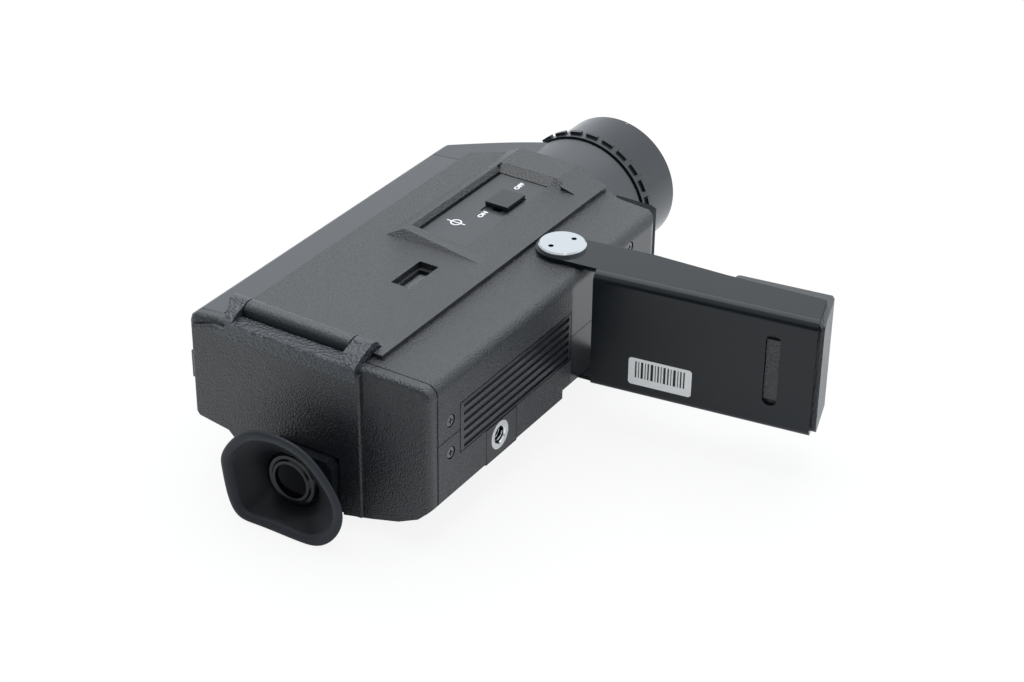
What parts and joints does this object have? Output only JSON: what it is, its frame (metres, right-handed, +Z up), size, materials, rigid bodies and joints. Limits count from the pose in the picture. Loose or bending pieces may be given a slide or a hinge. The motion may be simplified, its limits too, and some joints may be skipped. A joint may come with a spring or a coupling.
{
  "type": "home movie camera",
  "caption": "Cartridge home movie camera with focusing lens, rubber eyecup, hinged rear door and a folding pistol grip, lying on its side.",
  "frame": {"origin": "on the table, below the middle of the camera's bounding box as it lies on its left side", "axes": "+X forward along the lens axis, +Y towards the camera's own top, +Z up from the table towards the camera's right side"},
  "size_m": [0.2106, 0.1779, 0.0659],
  "materials": {
    "grained_shell": "fine leather grain",
    "satin_shell": "smooth satin",
    "inner_plastic": "plain moulded",
    "black_enamel": "gloss",
    "chrome": "polished",
    "rubber": "matte",
    "glass": "polished",
    "steel": "brushed",
    "brass": "machined",
    "alloy": "satin",
    "cell_sleeve": "printed sleeve, left plain"
  },
  "bodies": {
    "camera": {"right_shell": "grained_shell", "left_shell": "grained_shell", "top_cover": "satin_shell", "front_cover": "satin_shell", "front_plate": "black_enamel", "run_switch": "inner_plastic", "lens_barrel": "satin_shell", "rear_cell": "inner_plastic", "rear_lens": "glass", "eyepiece_housing": "grained_shell", "finder_tube": "inner_plastic", "finder_front_lens": "glass", "switch_plate": "satin_shell", "film_window": "glass", "film_liner": "inner_plastic", "film_gate": "steel", "chassis_plate": "steel", "motor_plate": "steel", "motor_body": "alloy", "idler_stud": "steel", "battery_tray": "inner_plastic", "battery_cell_1": "cell_sleeve", "battery_cell_2": "cell_sleeve", "contact_rear": "steel", "contact_front": "steel", "tripod_block": "satin_shell", "tripod_bush": "chrome", "case_screws": "steel", "pivot_screw_right": "chrome", "pivot_screw_left": "chrome"},
    "run_button": {"run_button": "satin_shell"},
    "focus_group": {"focus_ring": "satin_shell", "front_cell": "satin_shell", "front_lens": "glass"},
    "door": {"rear_door": "grained_shell", "hinge_pin": "steel"},
    "latch": {"door_latch": "satin_shell"},
    "slider": {"power_slider": "satin_shell"},
    "battery_lid": {"battery_door": "grained_shell"},
    "eyepiece": {"eyepiece_ring": "satin_shell", "eyepiece_lens": "glass", "eyecup": "rubber"},
    "grip": {"grip_bracket": "black_enamel", "grip_core": "rubber"},
    "motor_rotor": {"motor_shaft": "steel", "motor_pinion": "brass"},
    "idler": {"idler_gear": "brass"},
    "shutter": {"shutter_shaft": "steel", "shutter_disc": "steel", "shutter_gear": "brass"},
    "worm": {"worm_shaft": "steel", "worm_shaft_gear": "brass"},
    "take_up": {"take_up_wheel": "brass", "take_up_spindle": "steel"},
    "claw": {"film_claw": "steel"}
  },
  "joints": [
    {"name": "grip_fold", "type": "hinge", "parent": "camera", "child": "grip", "pos_m": [0.0116, 0.0073, 0.0383], "axis": [0, 0, 1], "range_deg": [-20, 60]},
    {"name": "door_swing", "type": "hinge", "parent": "camera", "child": "door", "pos_m": [-0.0786, 0.0441, 0.0611], "axis": [0, 1, 0], "range_deg": [0, 110], "deforming": ["eyecup"]},
    {"name": "latch_slide", "type": "slide", "parent": "camera", "child": "latch", "axis": [1, 0, 0], "range_m": [0, 0.003]},
    {"name": "power_switch", "type": "slide", "parent": "camera", "child": "slider", "axis": [-1, 0, 0], "range_m": [0, 0.003]},
    {"name": "battery_lid_release", "type": "slide", "parent": "camera", "child": "battery_lid", "axis": [0, -1, 0], "range_m": [0, 0.02]},
    {"name": "focus_turn", "type": "hinge", "parent": "camera", "child": "focus_group", "pos_m": [0.0867, 0.0403, 0.0383], "axis": [1, 0, 0], "range_deg": [-60, 60]},
    {"name": "diopter_turn", "type": "hinge", "parent": "camera", "child": "eyepiece", "pos_m": [-0.0953, 0.0411, 0.0163], "axis": [1, 0, 0], "range_deg": [-20, 20]},
    {"name": "run_press", "type": "slide", "parent": "camera", "child": "run_button", "axis": [-1, 0, 0], "range_m": [0, 0.003], "stiffness_N_per_m": 400, "springref_m": -0.001},
    {"name": "shutter_turn", "type": "hinge", "parent": "camera", "child": "shutter", "pos_m": [0.0137, 0.0543, 0.0403], "axis": [1, 0, 0], "continuous": true},
    {"name": "idler_turn", "type": "hinge", "parent": "camera", "child": "idler", "pos_m": [0.0117, 0.0678, 0.0403], "axis": [1, 0, 0], "continuous": true},
    {"name": "motor_turn", "type": "hinge", "parent": "camera", "child": "motor_rotor", "pos_m": [0.0117, 0.0743, 0.0403], "axis": [1, 0, 0], "continuous": true},
    {"name": "worm_turn", "type": "hinge", "parent": "camera", "child": "worm", "pos_m": [-0.0233, 0.05835, 0.0269], "axis": [1, 0, 0], "continuous": true},
    {"name": "take_up_turn", "type": "hinge", "parent": "camera", "child": "take_up", "pos_m": [-0.0318, 0.04735, 0.0303], "axis": [0, 0, 1], "continuous": true},
    {"name": "claw_stroke", "type": "slide", "parent": "camera", "child": "claw", "axis": [0, 1, 0], "range_m": [-0.0021, 0.0021]}
  ],
  "couplings": [
    {"joint": "idler_turn", "follows": "shutter_turn", "ratio": -2.8571},
    {"joint": "motor_turn", "follows": "shutter_turn", "ratio": 3.3333},
    {"joint": "worm_turn", "follows": "shutter_turn", "ratio": -2.5},
    {"joint": "take_up_turn", "follows": "shutter_turn", "ratio": 0.069444}
  ]
}
